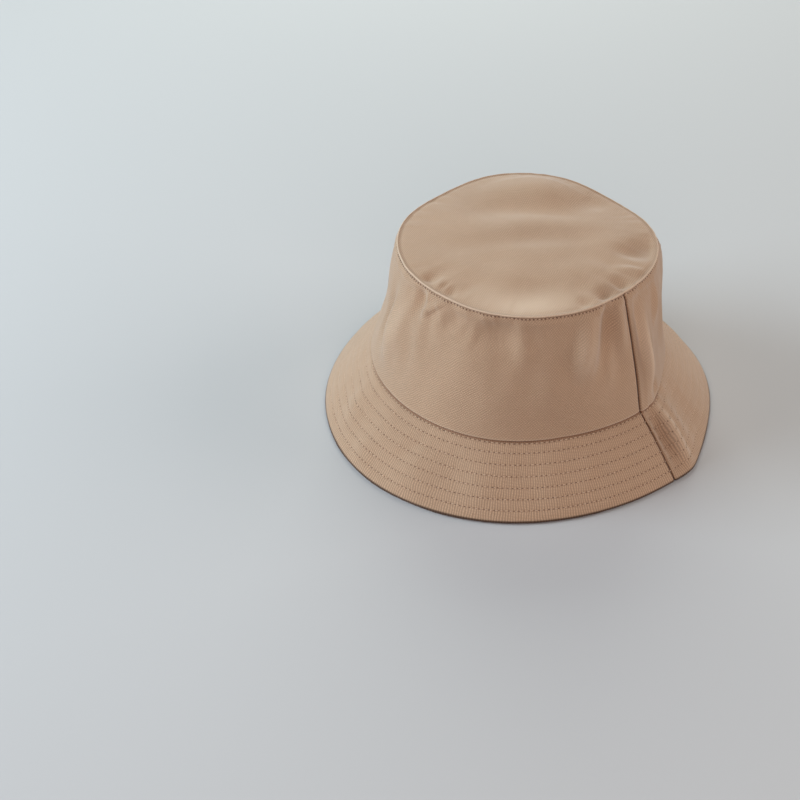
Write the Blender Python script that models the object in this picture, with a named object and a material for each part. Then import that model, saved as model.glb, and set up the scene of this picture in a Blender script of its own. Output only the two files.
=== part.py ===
"""A soft bucket hat in cotton twill, standing on the edge of its brim.

Metres, +Z up. The origin is on the floor, under the middle of the hat's box. The wearer's front is -Y, and the
two side seams lie at +X and -X. Angles run anticlockwise from +X round the crown's middle, seen from above.

The hat is sewn from five pieces, as the real one is: an oval tip, a front and a back crown panel, and a front
and a back brim panel. Each side seam joins a front panel to a back one. The tip's turned edge laps inside the
crown, and so does the neck of the brim.
"""

import math

import bmesh
import bpy
from mathutils import Vector

# Driving sizes
TIP_RADIUS = 0.0765
HEAD_RADIUS = 0.0950
CROWN_HEIGHT = 0.0752
BRIM_DROP = 0.0364
BRIM_FLARE = 0.0300
CLOTH = 0.0012
BRIM_CLOTH = 0.0024
SEAM_GAP = 0.0003
SEAM_LAP = 0.0060
LAP_SLACK = 0.0006
TIP_DOME = 0.0050
BAND_BULGE = 0.0016
BRIM_BOW = 0.0007
EDGE_RISE = 0.0016
FOOT_WIDTH = 0.0020

# Where the crown's middle stands, so that the whole hat's box is centred on the origin
CROWN_X = 0.0018
CROWN_Y = 0.0065

# How finely each piece is divided
COLUMNS_PER_PANEL = 48
TIP_RINGS = 9
RING_CROWDING = 0.9
BAND_ROWS = 8
BRIM_ROWS = 6
SHARP_ANGLE = 50.0

# Plan outline every 30 degrees, each radius as a share of its own named size, and the tip seam's dip as a
# share of the crown's height.
OUTLINE_STEP = 30.0
OUTLINE = [
    # angle, tip, head, edge, tip_dip
    (0, 0.962, 0.957, 0.966, 0.000),
    (30, 0.975, 0.887, 0.930, 0.010),
    (60, 0.990, 0.900, 0.938, 0.030),
    (90, 0.985, 0.970, 0.950, 0.046),
    (120, 1.000, 1.005, 0.990, -0.022),
    (150, 1.045, 1.010, 1.008, -0.020),
    (180, 1.015, 1.005, 1.010, 0.000),
    (210, 1.050, 1.010, 1.014, 0.000),
    (240, 1.034, 1.018, 1.034, 0.000),
    (270, 1.009, 1.024, 1.056, 0.000),
    (300, 1.025, 1.019, 1.036, 0.000),
    (330, 1.001, 0.973, 0.994, 0.000),
]

# The tip's waves fade out over this share of its radius, next to its seam.
SEAM_HOLD = 0.17

# Sharp lines down the hat where it was once folded flat. Heights of the ridge are shares of the head radius.
CREASES = [
    # angle, spread_deg, at_tip, at_head, at_edge
    (7.5, 9.0, 0.000, 0.036, 0.060),
    (187.5, 11.0, 0.000, 0.018, 0.024),
]

# Dents and ridges in the crown's side. The centre and half height are shares of the crown's height, and the
# depth is a share of the head radius, outwards if positive.
BAND_FOLDS = [
    # angle, half_width_deg, centre, half_height, depth
    (229, 30.0, 0.46, 0.44, -0.038),
    (247, 8.0, 0.50, 0.50, 0.034),
    (257, 6.0, 0.86, 0.24, -0.022),
    (266, 6.0, 0.72, 0.40, 0.018),
    (276, 7.0, 0.80, 0.30, 0.016),
    (286, 6.0, 0.88, 0.22, -0.018),
    (304, 10.0, 0.88, 0.30, -0.022),
    (312, 6.0, 0.80, 0.30, 0.016),
    (325, 12.0, 0.36, 0.40, 0.010),
    (343, 7.0, 0.70, 0.42, 0.026),
    (352, 6.0, 0.64, 0.44, -0.026),
    (7, 6.0, 0.70, 0.44, -0.030),
    (17, 8.0, 0.44, 0.50, 0.040),
    (36, 12.0, 0.36, 0.44, -0.020),
    (56, 16.0, 0.80, 0.36, 0.050),
    (88, 14.0, 0.76, 0.34, -0.024),
    (124, 10.0, 0.58, 0.40, 0.020),
    (150, 12.0, 0.74, 0.34, -0.020),
    (176, 8.0, 0.60, 0.40, 0.018),
    (200, 12.0, 0.74, 0.36, 0.016),
]

# Soft waves in the tip. The centre is in shares of the tip radius along the line and across it, the line's
# direction is an angle, and the depth is a share of the tip radius, upwards if positive.
TIP_WAVES = [
    # line_deg, along, across, half_length, half_width, depth
    (49, 0.00, 0.42, 0.70, 0.16, -0.030),
    (49, 0.05, 0.66, 0.70, 0.16, 0.020),
    (52, -0.05, -0.04, 0.95, 0.17, -0.034),
    (47, -0.10, -0.52, 0.80, 0.22, 0.030),
    (49, 0.10, 0.20, 0.80, 0.14, 0.022),
    (12, 0.78, -0.06, 0.34, 0.12, 0.030),
    (30, 0.80, 0.05, 0.30, 0.12, -0.040),
    (345, 0.76, 0.02, 0.26, 0.13, -0.036),
    (260, 0.84, 0.00, 0.22, 0.10, -0.026),
    (280, 0.84, 0.00, 0.20, 0.09, -0.018),
    (130, 0.72, 0.02, 0.40, 0.52, 0.068),
    (95, 0.78, 0.00, 0.26, 0.16, -0.034),
]

# Shallow waves along the brim, as shares of the brim's flare, outwards if positive.
BRIM_WAVES = [
    # angle, half_width_deg, depth
    (22, 9.0, -0.050),
    (248, 14.0, 0.040),
    (286, 12.0, -0.030),
    (130, 16.0, -0.050),
]


def turned(angle, centre):
    """The difference between two angles, from -180 to 180 degrees."""
    return (angle - centre + 180.0) % 360.0 - 180.0


def hump(distance, half_width):
    """A smooth bump, 1 in its middle and 0 from half_width outwards."""
    share = min(1.0, abs(distance) / half_width)
    return 0.5 + 0.5 * math.cos(math.pi * share)


def outline(angle, column):
    """A column of OUTLINE at any angle, on a smooth closed curve through its rows."""
    place = (angle % 360.0) / OUTLINE_STEP
    row = int(place)
    share = place - row
    before, here, after, beyond = (OUTLINE[(row + k) % len(OUTLINE)][column] for k in (-1, 0, 1, 2))
    slope_here = (after - before) / 2
    slope_after = (beyond - here) / 2
    rise = after - here
    return (
        here
        + slope_here * share
        + (3 * rise - 2 * slope_here - slope_after) * share**2
        + (slope_here + slope_after - 2 * rise) * share**3
    )


def crease(angle, column):
    """How far the fold lines stand out at this angle, at the tip, head or edge column of CREASES."""
    total = 0.0
    for row in CREASES:
        total += row[column] * math.exp(-abs(turned(angle, row[0])) / row[1])
    return total * HEAD_RADIUS


def tip_edge(angle):
    """Radius and height of the tip seam."""
    radius = TIP_RADIUS * outline(angle, 1) + crease(angle, 2)
    height = BRIM_DROP + CROWN_HEIGHT * (1.0 - outline(angle, 4))
    return radius, height


def head_edge(angle):
    """Radius and height of the seam between crown and brim."""
    return HEAD_RADIUS * outline(angle, 2) + crease(angle, 3), BRIM_DROP


def brim_edge(angle):
    """Radius of the brim's outer edge, which rests on the floor all the way round."""
    radius = (HEAD_RADIUS + BRIM_FLARE) * outline(angle, 3) + crease(angle, 4)
    return radius


def band_point(angle, share):
    """Outside of the crown's side, from the brim seam at share 0 to the tip seam at share 1."""
    low_radius, low_height = head_edge(angle)
    high_radius, high_height = tip_edge(angle)
    radius = low_radius + (high_radius - low_radius) * share
    radius += BAND_BULGE * math.sin(math.pi * share)
    held = math.sin(math.pi * min(1.0, max(0.0, share))) ** 0.5
    for centre, width, middle, reach, depth in BAND_FOLDS:
        size = hump(turned(angle, centre), width) * hump(share - middle, reach)
        radius += HEAD_RADIUS * depth * size * held
    return radius, low_height + (high_height - low_height) * share


def tip_height(angle, share):
    """Height of the tip's upper side, from its middle at share 0 to its seam at share 1."""
    edge_height = tip_edge(angle)[1]
    middle_height = BRIM_DROP + CROWN_HEIGHT
    height = middle_height + (edge_height - middle_height) * share**2
    height += TIP_DOME * (1.0 - share**2)
    held = min(1.0, (1.0 - share) / SEAM_HOLD)
    x = share * math.cos(math.radians(angle))
    y = share * math.sin(math.radians(angle))
    for line, along, across, length, width, depth in TIP_WAVES:
        cosine = math.cos(math.radians(line))
        sine = math.sin(math.radians(line))
        size = hump(x * cosine + y * sine - along, length) * hump(y * cosine - x * sine - across, width)
        height += TIP_RADIUS * depth * size * held
    return height


def brim_point(angle, share):
    """Upper side of the brim, from the head seam at share 0 to its outer edge at share 1."""
    inner_radius, inner_height = head_edge(angle)
    outer_radius = brim_edge(angle)
    wave = sum(row[2] * hump(turned(angle, row[0]), row[1]) for row in BRIM_WAVES)
    radius = inner_radius + (outer_radius - inner_radius) * share
    radius += (BRIM_BOW + BRIM_FLARE * wave) * math.sin(math.pi * share)
    top = inner_height - SEAM_GAP
    return radius, top + (EDGE_RISE - top) * share


def inside(line, thickness):
    """The line's points moved inwards by the thickness of the cloth, square to the line."""
    moved = []
    for k, (radius, height) in enumerate(line):
        before = line[max(k - 1, 0)]
        after = line[min(k + 1, len(line) - 1)]
        run = after[0] - before[0]
        rise = after[1] - before[1]
        length = math.hypot(run, rise)
        moved.append((radius - thickness * abs(rise) / length, height - thickness * abs(run) / length))
    return moved


def band_rows(angle):
    """The outside of the crown's side as points from the brim seam to just under the tip."""
    rows = [band_point(angle, k / BAND_ROWS) for k in range(BAND_ROWS + 1)]
    top_radius, top_height = rows[-1]
    rows[-1] = (top_radius, top_height - CLOTH - SEAM_GAP)
    return rows


def lap(seam, away):
    """Two points just inside the crown's side: at a seam, and SEAM_LAP from it towards another point."""
    share = SEAM_LAP / abs(away[1] - seam[1])
    inner = seam[0] - CLOTH - SEAM_GAP
    end_radius = inner - LAP_SLACK + (away[0] - seam[0]) * share
    return (inner, seam[1]), (end_radius, seam[1] + (away[1] - seam[1]) * share)


def tip_section(angle):
    """Half section of the tip from its middle, over the seam's lip and down its turned edge, and back inside."""
    edge_radius, edge_height = tip_edge(angle)
    rows = band_rows(angle)
    seam, end = lap(rows[-1], rows[-2])
    shares = [(k / TIP_RINGS) ** RING_CROWDING for k in range(TIP_RINGS)]
    top = [(edge_radius * share, tip_height(angle, share)) for share in shares]
    under = [(radius * (1.0 - 2 * CLOTH / edge_radius), height - CLOTH) for radius, height in top]
    turned_edge = [
        (edge_radius - CLOTH / 2, edge_height + CLOTH / 4),
        (edge_radius, edge_height - CLOTH / 4),
        (edge_radius, edge_height - CLOTH),
        (seam[0], edge_height - CLOTH),
        end,
        (end[0] - CLOTH, end[1]),
        (seam[0] - CLOTH, edge_height - CLOTH),
    ]
    return top + turned_edge + under[::-1]


def band_section(angle):
    """Section of the crown's side: up the inside and down the outside."""
    outer = band_rows(angle)
    return [(radius - CLOTH, height) for radius, height in outer] + outer[::-1]


def brim_section(angle):
    """Section of the brim: its neck inside the crown, its upper side, its foot on the floor, its underside."""
    upper = [brim_point(angle, k / BRIM_ROWS) for k in range(BRIM_ROWS + 1)]
    lower = inside(upper, BRIM_CLOTH)
    rows = band_rows(angle)
    seam, end = lap(rows[0], rows[1])
    top_height = upper[0][1]
    edge_radius = brim_edge(angle)
    foot = [(edge_radius, 0.0), (edge_radius - FOOT_WIDTH, 0.0)]
    neck = [(end[0] - CLOTH, end[1]), end, (seam[0], top_height)]
    return neck + upper + foot + lower[-2:0:-1] + [(seam[0] - CLOTH, top_height - BRIM_CLOTH)]


def around(angle, section):
    """A section's points turned to their angle."""
    cosine = math.cos(math.radians(angle))
    sine = math.sin(math.radians(angle))
    return [Vector((CROWN_X + r * cosine, CROWN_Y + r * sine, height)) for r, height in section]


def panel_angles(start):
    """The columns of a half-round panel, short of each side seam by half the seam's gap."""
    slack = math.degrees(SEAM_GAP / 2 / TIP_RADIUS)
    step = (180.0 - 2 * slack) / COLUMNS_PER_PANEL
    return [start + slack + k * step for k in range(COLUMNS_PER_PANEL + 1)]


def finish_mesh(name, mesh_bm, material):
    """Turns a bmesh into a named object with its faces outwards and smooth shading between flat edges."""
    bmesh.ops.recalc_face_normals(mesh_bm, faces=mesh_bm.faces)
    mesh = bpy.data.meshes.new(name)
    mesh_bm.to_mesh(mesh)
    mesh_bm.free()
    mesh.shade_smooth()
    mesh.set_sharp_from_angle(angle=math.radians(SHARP_ANGLE))
    mesh.materials.append(material)
    obj = bpy.data.objects.new(name, mesh)
    bpy.context.scene.collection.objects.link(obj)
    return obj


def make_panel(name, start, section, material):
    """A half-round panel between the two side seams, swept from its sections."""
    panel = bmesh.new()
    columns = [[panel.verts.new(p) for p in around(angle, section(angle))] for angle in panel_angles(start)]
    count = len(columns[0])
    for here, after in zip(columns, columns[1:]):
        for k in range(count):
            nxt = (k + 1) % count
            panel.faces.new((here[k], here[nxt], after[nxt], after[k]))
    panel.faces.new(columns[0])
    panel.faces.new(columns[-1][::-1])
    return finish_mesh(name, panel, material)


def make_tip(name, material):
    """The whole tip: its sections meet in a point at the middle, above and below."""
    tip = bmesh.new()
    angles = [k * 180.0 / COLUMNS_PER_PANEL for k in range(2 * COLUMNS_PER_PANEL)]
    sections = [around(angle, tip_section(angle)) for angle in angles]
    top = tip.verts.new(sections[0][0])
    bottom = tip.verts.new(sections[0][-1])
    columns = [[tip.verts.new(p) for p in section[1:-1]] for section in sections]
    for here, after in zip(columns, columns[1:] + columns[:1]):
        tip.faces.new((top, here[0], after[0]))
        tip.faces.new((bottom, after[-1], here[-1]))
        for k in range(len(here) - 1):
            tip.faces.new((here[k], here[k + 1], after[k + 1], after[k]))
    return finish_mesh(name, tip, material)


def twill(name, colour, roughness):
    """Plain cloth in one of the hat's two tones."""
    material = bpy.data.materials.new(name)
    material.use_nodes = True
    shader = material.node_tree.nodes["Principled BSDF"]
    shader.inputs["Base Color"].default_value = (*colour, 1.0)
    shader.inputs["Roughness"].default_value = roughness
    shader.inputs["Metallic"].default_value = 0.0
    return material


def main():
    for obj in list(bpy.data.objects):
        bpy.data.objects.remove(obj)
    crown_twill = twill("crown_twill", (0.42, 0.29, 0.20), 0.85)
    brim_twill = twill("brim_twill", (0.40, 0.27, 0.19), 0.88)
    make_tip("crown_tip", crown_twill)
    make_panel("crown_front", 180.0, band_section, crown_twill)
    make_panel("crown_back", 0.0, band_section, crown_twill)
    make_panel("brim_front", 180.0, brim_section, brim_twill)
    make_panel("brim_back", 0.0, brim_section, brim_twill)


main()
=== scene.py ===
# %% [markdown]
# # A cotton bucket hat
#
# The hat stands on the edge of its brim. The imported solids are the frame: they give every piece its size and
# its place, and MuJoCo collides with them. This script dresses them as cloth. Each panel gets a fine mesh with
# its puckers, rolled edges and quilting, then a twill weave, and then its rows of stitches.

import math

import bpy
import numpy as np
from mathutils import Matrix, Vector, noise


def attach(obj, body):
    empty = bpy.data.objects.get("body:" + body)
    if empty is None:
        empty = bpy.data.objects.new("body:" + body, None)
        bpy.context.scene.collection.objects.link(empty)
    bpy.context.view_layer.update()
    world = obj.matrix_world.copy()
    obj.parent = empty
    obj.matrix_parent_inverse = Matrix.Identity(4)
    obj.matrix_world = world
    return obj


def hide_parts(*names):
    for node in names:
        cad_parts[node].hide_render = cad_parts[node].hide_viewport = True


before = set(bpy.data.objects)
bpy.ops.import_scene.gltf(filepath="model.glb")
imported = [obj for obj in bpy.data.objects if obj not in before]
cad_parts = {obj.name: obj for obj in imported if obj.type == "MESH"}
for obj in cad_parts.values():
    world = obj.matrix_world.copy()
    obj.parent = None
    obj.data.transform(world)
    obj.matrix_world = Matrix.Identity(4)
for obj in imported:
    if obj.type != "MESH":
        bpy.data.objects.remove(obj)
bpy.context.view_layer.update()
print("frame nodes:", sorted(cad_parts))

# %% [markdown]
# ## The hat's shape as functions
#
# Sewn cloth follows its seams: the tip seam, the head seam and the brim's edge are three closed curves, and
# each panel spans two of them. So the whole hat is a few functions of the angle round the crown and the share
# of the way from one seam to the next. They follow the part's source, with the same sizes and tables, but are
# written for whole arrays of points, because the cloth here is ten times as fine. Real cloth rounds off what is
# sharp, so three things are softer here: the narrow waves of the tip, the top of the old fold line, and the
# brim's edge. Another way would be to sculpt or to simulate, but the panels would then no longer lie on the
# frame.

# %% Sizes of the hat
TIP_RADIUS = 0.0765
HEAD_RADIUS = 0.0950
CROWN_HEIGHT = 0.0752
BRIM_DROP = 0.0364
BRIM_FLARE = 0.0300
CLOTH = 0.0012
BRIM_CLOTH = 0.0024
SEAM_GAP = 0.0003
SEAM_LAP = 0.0060
TIP_DOME = 0.0050
BAND_BULGE = 0.0016
BRIM_BOW = 0.0007
CROWN_X = 0.0018
CROWN_Y = 0.0065
SEAM_HOLD = 0.17
EDGE_RISE = 0.0021
EDGE_TUCK = 0.0003
CREASE_ROUNDING = 3.0
CREASE_LOWERING = 2.2
NARROW_WAVE = 0.3
NARROW_EASE = 0.36
OUTLINE_STEP = 30.0

OUTLINE = np.array([
    # angle, tip, head, edge, tip_dip
    (0, 0.962, 0.957, 0.966, 0.000),
    (30, 0.975, 0.887, 0.930, 0.010),
    (60, 0.990, 0.900, 0.938, 0.030),
    (90, 0.985, 0.970, 0.950, 0.046),
    (120, 1.000, 1.005, 0.990, -0.022),
    (150, 1.045, 1.010, 1.008, -0.020),
    (180, 1.015, 1.005, 1.010, 0.000),
    (210, 1.050, 1.010, 1.014, 0.000),
    (240, 1.034, 1.018, 1.034, 0.000),
    (270, 1.009, 1.024, 1.056, 0.000),
    (300, 1.025, 1.019, 1.036, 0.000),
    (330, 1.001, 0.973, 0.994, 0.000),
])

CREASES = [
    # angle, spread_deg, at_tip, at_head, at_edge
    (7.5, 9.0, 0.000, 0.036, 0.060),
    (187.5, 11.0, 0.000, 0.018, 0.024),
]

BAND_FOLDS = [
    # angle, half_width_deg, centre, half_height, depth
    (229, 30.0, 0.46, 0.44, -0.038),
    (247, 8.0, 0.50, 0.50, 0.034),
    (257, 6.0, 0.86, 0.24, -0.022),
    (266, 6.0, 0.72, 0.40, 0.018),
    (276, 7.0, 0.80, 0.30, 0.016),
    (286, 6.0, 0.88, 0.22, -0.018),
    (304, 10.0, 0.88, 0.30, -0.022),
    (312, 6.0, 0.80, 0.30, 0.016),
    (325, 12.0, 0.36, 0.40, 0.010),
    (343, 7.0, 0.70, 0.42, 0.026),
    (352, 6.0, 0.64, 0.44, -0.026),
    (7, 6.0, 0.70, 0.44, -0.030),
    (17, 8.0, 0.44, 0.50, 0.040),
    (36, 12.0, 0.36, 0.44, -0.020),
    (56, 16.0, 0.80, 0.36, 0.050),
    (88, 14.0, 0.76, 0.34, -0.024),
    (124, 10.0, 0.58, 0.40, 0.020),
    (150, 12.0, 0.74, 0.34, -0.020),
    (176, 8.0, 0.60, 0.40, 0.018),
    (200, 12.0, 0.74, 0.36, 0.016),
]

TIP_WAVES = [
    # line_deg, along, across, half_length, half_width, depth
    (49, 0.00, 0.42, 0.70, 0.16, -0.030),
    (49, 0.05, 0.66, 0.70, 0.16, 0.020),
    (52, -0.05, -0.04, 0.95, 0.17, -0.034),
    (47, -0.10, -0.52, 0.80, 0.22, 0.030),
    (49, 0.10, 0.20, 0.80, 0.14, 0.022),
    (12, 0.78, -0.06, 0.34, 0.12, 0.030),
    (30, 0.80, 0.05, 0.30, 0.12, -0.040),
    (345, 0.76, 0.02, 0.26, 0.13, -0.036),
    (260, 0.84, 0.00, 0.22, 0.10, -0.026),
    (280, 0.84, 0.00, 0.20, 0.09, -0.018),
    (130, 0.72, 0.02, 0.40, 0.52, 0.068),
    (95, 0.78, 0.00, 0.26, 0.16, -0.034),
]

BRIM_WAVES = [
    # angle, half_width_deg, depth
    (22, 9.0, -0.050),
    (248, 14.0, 0.040),
    (286, 12.0, -0.030),
    (130, 16.0, -0.050),
]


# %% Curves through the seams
def mm(metres):
    """A length in millimetres, rounded for printing."""
    return round(float(metres) * 1000, 1)


def turned(angle, centre):
    """The difference between two angles, from -180 to 180 degrees."""
    return (angle - centre + 180.0) % 360.0 - 180.0


def hump(distance, half_width):
    """A smooth bump, 1 in its middle and 0 from half_width outwards."""
    share = np.clip(np.abs(distance) / half_width, 0.0, 1.0)
    return 0.5 + 0.5 * np.cos(np.pi * share)


def ridge(distance, width):
    """A soft bell, 1 on its line and almost 0 from twice the width outwards."""
    return np.exp(-((distance / width) ** 2))


def fading(distance, length):
    """1 at a seam, and fading away from it over the length."""
    return np.exp(-distance / length)


def ramp(distance, length):
    """Rises evenly from 0 to 1 over the length."""
    return np.clip(distance / length, 0.0, 1.0)


def outline(angle, column):
    """A column of OUTLINE at any angle, on a smooth closed curve through its rows."""
    place = (angle % 360.0) / OUTLINE_STEP
    row = np.floor(place).astype(int)
    share = place - row
    before, here, after, beyond = (OUTLINE[(row + k) % len(OUTLINE), column] for k in (-1, 0, 1, 2))
    slope_here = (after - before) / 2
    slope_after = (beyond - here) / 2
    rise = after - here
    bend = 3 * rise - 2 * slope_here - slope_after
    return here + slope_here * share + bend * share**2 + (slope_here + slope_after - 2 * rise) * share**3


def crease(angle, column):
    """How far the old fold lines stand out at this angle, rounded in degrees at their very top."""
    total = 0.0
    for row in CREASES:
        away = np.sqrt(turned(angle, row[0]) ** 2 + CREASE_ROUNDING**2) - CREASE_LOWERING
        total = total + row[column] * np.exp(-away / row[1])
    return total * HEAD_RADIUS


def tip_edge(angle):
    """Radius and height of the tip seam."""
    radius = TIP_RADIUS * outline(angle, 1) + crease(angle, 2)
    return radius, BRIM_DROP + CROWN_HEIGHT * (1.0 - outline(angle, 4))


def head_edge(angle):
    """Radius of the seam between crown and brim."""
    return HEAD_RADIUS * outline(angle, 2) + crease(angle, 3)


def brim_edge(angle):
    """Radius of the brim's outer edge."""
    return (HEAD_RADIUS + BRIM_FLARE) * outline(angle, 3) + crease(angle, 4)


angles = np.arange(0.0, 360.0, 5.0)
print("mean radius of the tip seam", mm(tip_edge(angles)[0].mean()), "mm, head seam",
      mm(head_edge(angles).mean()), "mm, brim edge", mm(brim_edge(angles).mean()), "mm")


# %% Large folds of each panel
def band_shape(angle, share):
    """Radius and height of the crown's side, from the head seam at share 0 to the tip seam at share 1."""
    low_radius = head_edge(angle)
    high_radius, high_height = tip_edge(angle)
    radius = low_radius + (high_radius - low_radius) * share + BAND_BULGE * np.sin(np.pi * share)
    held = np.sin(np.pi * np.clip(share, 0.0, 1.0)) ** 0.5
    for centre, width, middle, reach, depth in BAND_FOLDS:
        size = hump(turned(angle, centre), width) * hump(share - middle, reach)
        radius = radius + HEAD_RADIUS * depth * size * held
    return radius, BRIM_DROP + (high_height - BRIM_DROP) * share


def tip_height(angle, share):
    """Height of the tip, from its middle at share 0 to its seam at share 1, its narrow waves eased."""
    edge_height = tip_edge(angle)[1]
    middle_height = BRIM_DROP + CROWN_HEIGHT
    height = middle_height + (edge_height - middle_height) * share**2 + TIP_DOME * (1.0 - share**2)
    held = np.minimum(1.0, (1.0 - share) / SEAM_HOLD)
    x = share * np.cos(np.radians(angle))
    y = share * np.sin(np.radians(angle))
    for line, along, across, length, width, depth in TIP_WAVES:
        cosine = math.cos(math.radians(line))
        sine = math.sin(math.radians(line))
        size = hump(x * cosine + y * sine - along, length) * hump(y * cosine - x * sine - across, width)
        ease = NARROW_EASE if width < NARROW_WAVE else 1.0
        height = height + ease * TIP_RADIUS * depth * size * held
    return height


def brim_shape(angle, share):
    """Radius and height of the brim's upper side, from the head seam at share 0 to its edge at share 1."""
    inner = head_edge(angle)
    outer = brim_edge(angle)
    wave = sum(row[2] * hump(turned(angle, row[0]), row[1]) for row in BRIM_WAVES)
    radius = inner + (outer - inner) * share + (BRIM_BOW + BRIM_FLARE * wave) * np.sin(np.pi * share)
    top = BRIM_DROP - SEAM_GAP
    return radius - EDGE_TUCK * share, top + (EDGE_RISE - top) * share


print("middle of the tip", mm(tip_height(0.0, 0.0)), "mm above the floor")

# %% [markdown]
# ## Small folds
#
# A curved seam gathers a little cloth with every stitch. Next to the tip seam the band and the tip pucker, most
# where the hat has been squashed in its box. Quilting pulls the brim down along each row, and the cloth stands
# up between the rows. Both are too fine for the solids, so they are added here as offsets along the surface.
# Noise from Blender's own seeded functions gives the uneven spacing, the same on every run. Folds that show
# singly, such as those beside the side seam, are rows of short tables instead, placed where the real ones are.


# %% Helpers for small folds
def xyz(angle, radius, height):
    """Points in the row frame from angle, radius and height arrays."""
    turn = np.radians(angle)
    places = np.broadcast_arrays(CROWN_X + radius * np.cos(turn), CROWN_Y + radius * np.sin(turn), height)
    return np.stack(places, axis=-1)


def uneven(angle, spacing, steps, seed):
    """Smooth noise from -1 to 1, in bumps spacing metres wide round the hat. It meets itself after one turn."""
    turn = np.radians(angle)
    size = HEAD_RADIUS / spacing
    places = np.broadcast_arrays(size * np.cos(turn), size * np.sin(turn), steps + 10.0 * seed)
    flat = [noise.noise(Vector(place)) for place in zip(*(p.ravel() for p in places))]
    return np.array(flat).reshape(places[0].shape)


def ripples(layers, angle, distance):
    """The sum of layers of noise. A sharp layer has thin crests and wide valleys, like creased cloth."""
    total = 0.0
    for weight, spacing, step, seed, sharp in layers:
        wave = uneven(angle, spacing, distance / step, seed)
        total = total + weight * (1.0 - 3.2 * np.abs(wave) if sharp else wave)
    return total


def small_folds(table, angle, share):
    """The sum of a table's folds or shades. One with a lean drifts round the hat from seam to seam."""
    total = 0.0
    for centre, width, middle, reach, lean, depth in table:
        away = turned(angle, centre + lean * (share - middle))
        total = total + depth * hump(away, width) * hump(share - middle, reach)
    return total


# %% Tables of small folds
BAND_WRINKLES = [
    # angle, half_width_deg, middle, half_height, lean_deg, depth_m
    (240.5, 7.0, 0.52, 0.46, 10.0, -0.0034),
    (252.0, 7.0, 0.52, 0.48, 10.0, 0.0028),
    (257.0, 8.0, 0.50, 0.50, 8.0, 0.0020),
    (262.0, 5.5, 0.86, 0.20, 0.0, -0.0044),
    (270.0, 4.0, 0.88, 0.16, 50.0, 0.0020),
    (280.0, 6.5, 0.82, 0.17, 24.0, -0.0020),
    (298.0, 16.0, 0.83, 0.17, 8.0, -0.0030),
    (291.0, 4.0, 0.80, 0.16, 16.0, 0.0006),
    (314.0, 6.0, 0.85, 0.15, -6.0, -0.0010),
    (322.0, 9.0, 0.45, 0.45, 6.0, 0.0012),
    (337.0, 6.5, 0.74, 0.36, 8.0, 0.0050),
    (346.5, 6.0, 0.70, 0.42, 12.0, -0.0060),
    (355.0, 4.0, 0.74, 0.32, 4.0, 0.0026),
    (7.8, 4.2, 0.46, 0.50, 4.0, 0.0054),
    (18.0, 7.5, 0.46, 0.50, 0.0, -0.0044),
    (30.0, 13.0, 0.40, 0.44, 0.0, -0.0034),
    (22.0, 4.0, 0.74, 0.28, 8.0, 0.0022),
    (12.0, 4.0, 0.08, 0.12, 0.0, -0.0018),
    (50.0, 8.0, 0.50, 0.45, 12.0, -0.0024),
    (84.0, 7.0, 0.66, 0.35, -10.0, 0.0022),
    (112.0, 9.0, 0.46, 0.42, 8.0, -0.0020),
    (146.0, 7.0, 0.70, 0.30, 10.0, 0.0022),
    (166.0, 6.0, 0.60, 0.38, -8.0, -0.0020),
    (196.0, 7.0, 0.70, 0.30, 6.0, 0.0020),
]

TIP_WRINKLES = [
    # angle, half_width_deg, middle, half_depth, lean_deg, depth_m
    (40.0, 16.0, 0.88, 0.26, 25.0, -0.0034),
    (17.0, 6.0, 0.88, 0.18, 20.0, 0.0016),
    (4.0, 7.0, 0.94, 0.16, 0.0, -0.0026),
    (352.0, 8.0, 0.95, 0.16, 0.0, -0.0032),
    (340.0, 6.0, 0.95, 0.12, 0.0, -0.0014),
    (312.0, 24.0, 0.78, 0.22, 0.0, -0.0012),
    (260.0, 5.0, 0.94, 0.13, 0.0, -0.0022),
    (267.0, 3.5, 0.93, 0.12, 20.0, 0.0012),
    (275.0, 4.0, 0.94, 0.11, 0.0, -0.0017),
]

BRIM_WRINKLES = [
    # angle, half_width_deg, middle, half_height, lean_deg, depth_m
    (3.4, 3.2, 0.45, 0.60, 0.0, -0.0038),
    (7.8, 3.2, 0.50, 0.60, 0.0, 0.0040),
    (12.5, 6.0, 0.45, 0.60, 0.0, 0.0022),
    (16.0, 5.0, 0.02, 0.20, 0.0, -0.0014),
    (248.0, 7.0, 0.50, 0.40, 10.0, 0.0009),
    (262.0, 6.0, 0.80, 0.30, 8.0, 0.0010),
    (276.0, 5.0, 0.45, 0.35, -8.0, -0.0010),
    (300.0, 8.0, 0.55, 0.45, 6.0, 0.0008),
    (322.0, 7.0, 0.60, 0.40, 10.0, 0.0009),
    (338.0, 5.0, 0.50, 0.40, -6.0, -0.0012),
    (351.0, 4.0, 0.40, 0.40, 4.0, 0.0008),
]

LEAST_PUCKER = 0.25
PUCKERS = [
    # angle, half_width_deg, on_band, on_tip
    (268, 26.0, 1.00, 0.90),
    (304, 22.0, 0.40, 0.35),
    (348, 16.0, 0.80, 0.50),
    (12, 18.0, 0.90, 0.35),
    (60, 34.0, 0.60, 0.40),
    (130, 40.0, 0.60, 0.50),
    (200, 40.0, 0.60, 0.50),
]

BAND_GATHERS = [
    # weight, spacing_m, step_m, seed, sharp
    (1.00, 0.0072, 0.022, 3.1, False),
    (0.45, 0.0070, 0.014, 7.7, True),
    (0.35, 0.0025, 0.007, 9.3, False),
]

TIP_GATHERS = [
    # weight, spacing_m, step_m, seed, sharp
    (1.00, 0.0075, 0.030, 23.0, False),
    (0.40, 0.0082, 0.014, 29.0, True),
    (0.30, 0.0030, 0.008, 27.0, False),
]

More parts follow.
